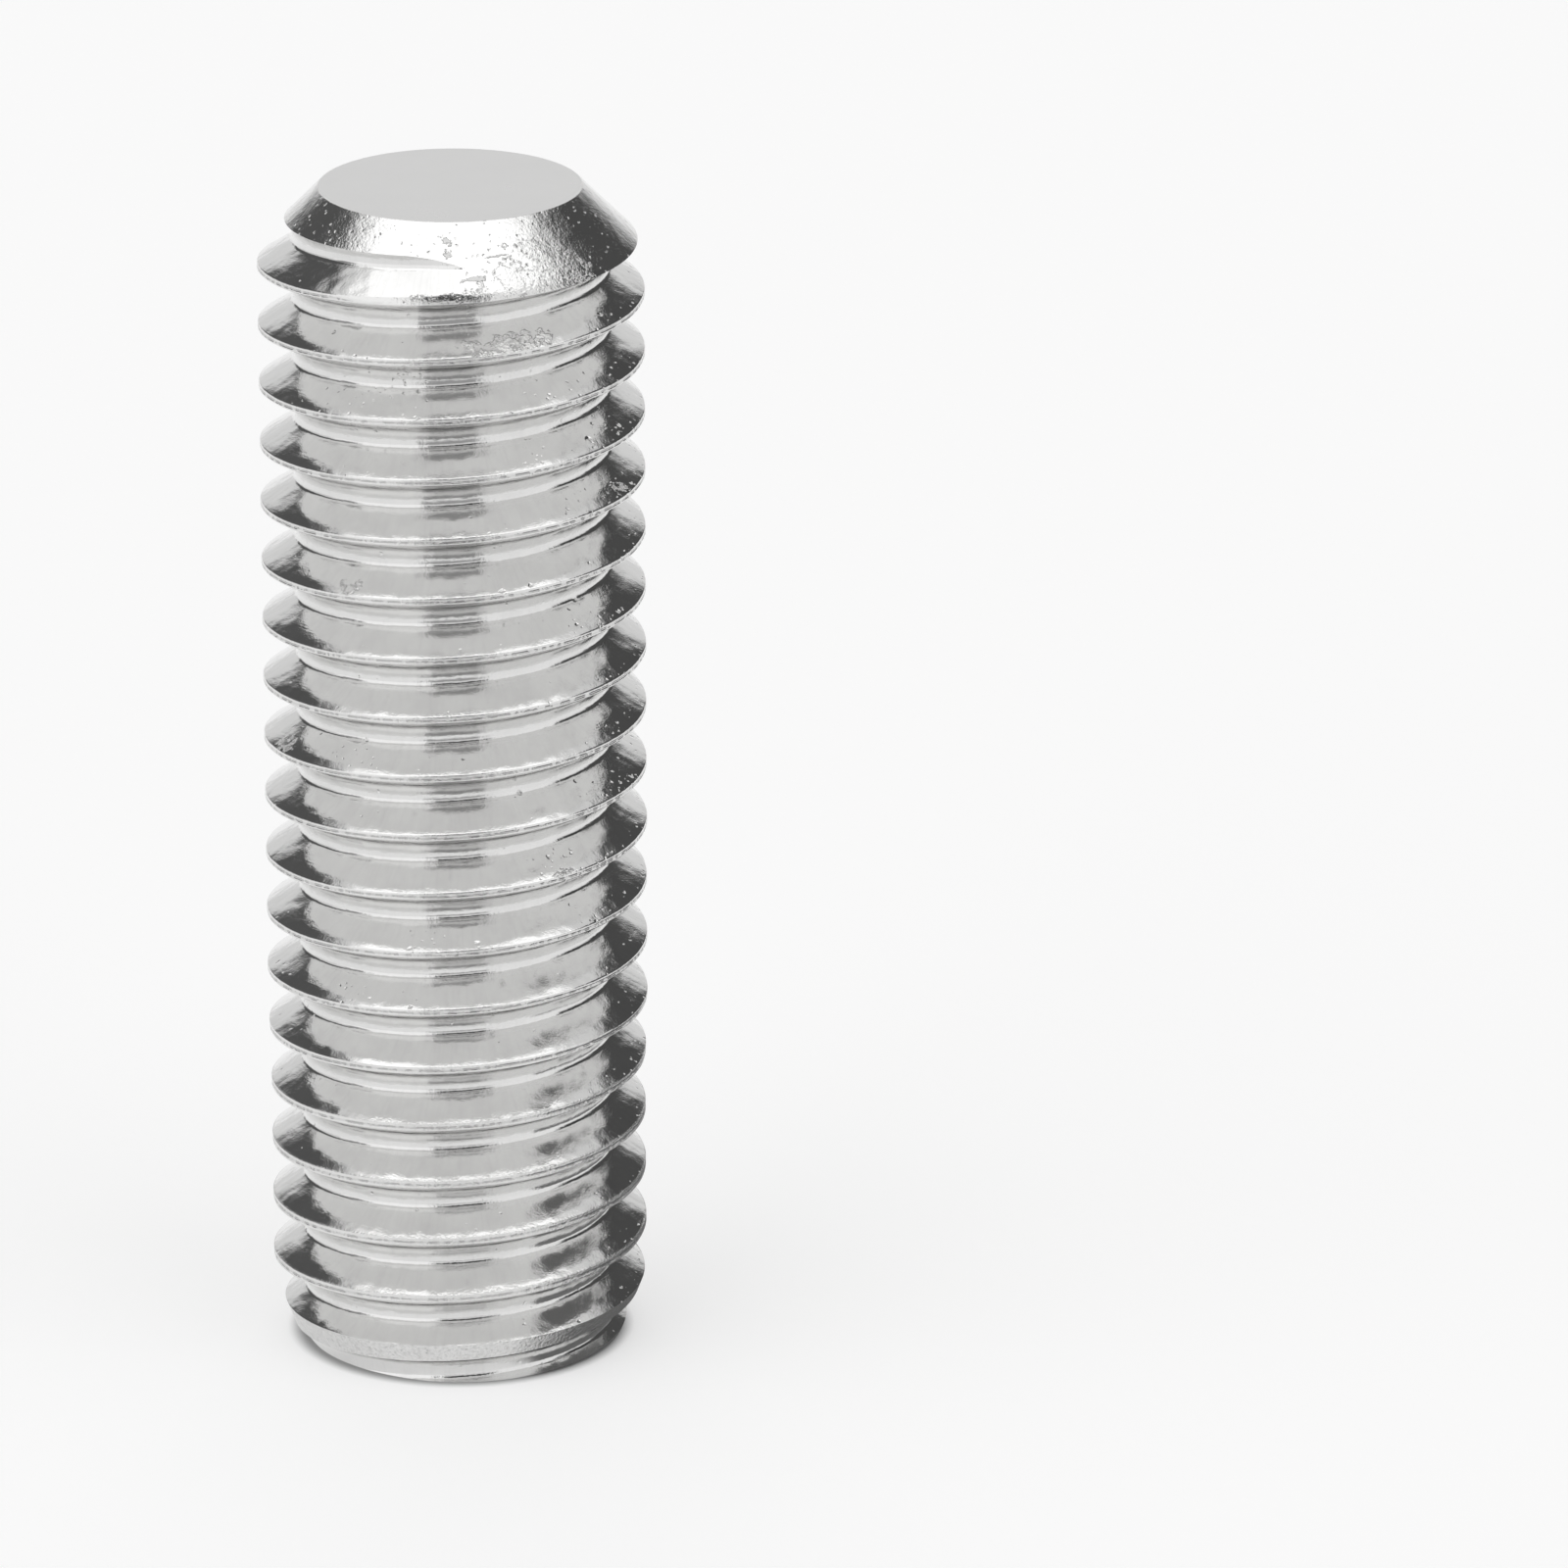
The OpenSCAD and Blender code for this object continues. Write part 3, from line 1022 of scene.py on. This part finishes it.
def painted_lens_gap(tree, x, y):
    """Mask of the dark gap under the lens, a painted reflection on the floor."""
    ahead = times(tree, y, -1.0)
    aside = calc(tree, "ABSOLUTE", add(tree, x, -PAINTED_GAP_MIDDLE))
    slant = divide(tree, aside, calc(tree, "MAXIMUM", ahead, 1.0))
    return times(tree, ramp(tree, ahead, PAINTED_GAP_STARTS, PAINTED_GAP_IS_FULL),
                 ramp(tree, slant, 0.30, 0.45, 1.0, 0.0))


def painted_grey_card(tree, x, y):
    """Mask of the painted card, a dark reflection, with its near edge towards the screw.
    """
    cosine, sine = math.cos(PAINTED_CARD_TURN), math.sin(PAINTED_CARD_TURN)
    right = add(tree, x, -PAINTED_CARD_CORNER[0])
    back = add(tree, y, -PAINTED_CARD_CORNER[1])
    away = take(tree, times(tree, right, cosine), times(tree, back, sine))
    inside = add(tree, times(tree, right, sine), times(tree, back, cosine))
    return times(tree, ramp(tree, away, -5.0, -2.0),
                 ramp(tree, away, 12.0, 17.0, 1.0, 0.0),
                 ramp(tree, inside, -0.3, 0.5),
                 ramp(tree, inside, 16.0, 26.0, 1.0, 0.0))


def white_sheet():
    """The floor's material. What the camera and the steel see of it is lifted
    towards the backdrop's white, and its shadows stay, with a painted contact
    shadow for the camera. Only the steel sees the gap and the card, dark
    reflections painted on the sheet."""
    material = bpy.data.materials.new("white sheet")
    material.use_nodes = True
    tree = material.node_tree
    shader = tree.nodes["Principled BSDF"]
    shader.inputs["Roughness"].default_value = 0.8
    shader.inputs["Specular IOR Level"].default_value = 0.0
    shader.inputs["Emission Color"].default_value = (1, 1, 1, 1)
    place = node(tree, "ShaderNodeTexCoord").outputs["Object"]
    x, y, _ = parts_of(tree, scaled(tree, place, 1 / MM))
    ray = node(tree, "ShaderNodeLightPath").outputs
    # Painted dark reflections of the lens gap and the card, for glossy rays only
    dark = times(tree, ray["Is Glossy Ray"], calc(
        tree, "MAXIMUM", times(tree, painted_lens_gap(tree, x, y), PAINTED_GAP_SHADE),
        times(tree, painted_grey_card(tree, x, y), PAINTED_CARD_SHADE)))
    left = take(tree, 1.0, dark)
    seen = calc(tree, "MAXIMUM", ray["Is Camera Ray"], ray["Is Glossy Ray"])
    # Close under the screw the camera sees the sheet without the lift, a painted contact
    # shadow
    lift_outside_painted_shadow = calc(tree, "MAXIMUM", ray["Is Glossy Ray"],
                    ramp(tree, from_axis(tree, x, y), *PAINTED_SHADOW_FADES))
    tree.links.new(times(tree, seen, left, lift_outside_painted_shadow, FLOOR_LIFT),
                   shader.inputs["Emission Strength"])
    sheet = times(tree, left, FLOOR_SHADE)
    tree.links.new(node(tree, "ShaderNodeCombineColor", {
        0: sheet, 1: sheet, 2: sheet}).outputs[0], shader.inputs["Base Color"])
    return material


def build_floor():
    """A wide white sheet."""
    side = 1.5
    mesh = bpy.data.meshes.new("floor")
    mesh.from_pydata([(-side, -side, 0), (side, -side, 0), (side, side, 0),
                      (-side, side, 0)], [], [(0, 1, 2, 3)])
    mesh.materials.append(white_sheet())
    floor = bpy.data.objects.new("floor", mesh)
    bpy.context.scene.collection.objects.link(floor)


# Where the camera stands, how far it looks down, and its focal length
CAMERA_PLACE = (6.711 * MM, -223.78 * MM, 89.34 * MM)
CAMERA_DOWN = 19.098 * DEGREE
LENS = 265.8


def build_camera():
    """A long lens a little above the screw, which stands left of its middle."""
    camera = bpy.data.cameras.new("camera")
    camera.sensor_width = 36.0
    camera.lens = LENS
    camera.clip_start = 0.01
    camera.clip_end = 10.0
    holder = bpy.data.objects.new("camera", camera)
    holder.location = CAMERA_PLACE
    holder.rotation_euler = (math.pi / 2 - CAMERA_DOWN, 0, 0)
    bpy.context.scene.collection.objects.link(holder)
    bpy.context.scene.camera = holder


bpy.context.scene.view_settings.view_transform = "Standard"
build_world()
build_floor()
build_camera()

marks = Marks()
screw = build_screw({
    "Thread Steel": thread_steel(marks),
    "Turned Steel": turned_steel(marks),
    "Flat Steel": flat_steel(marks),
    "Socket Steel": socket_steel(marks),
})
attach(screw, "root")
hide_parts("grub_screw")
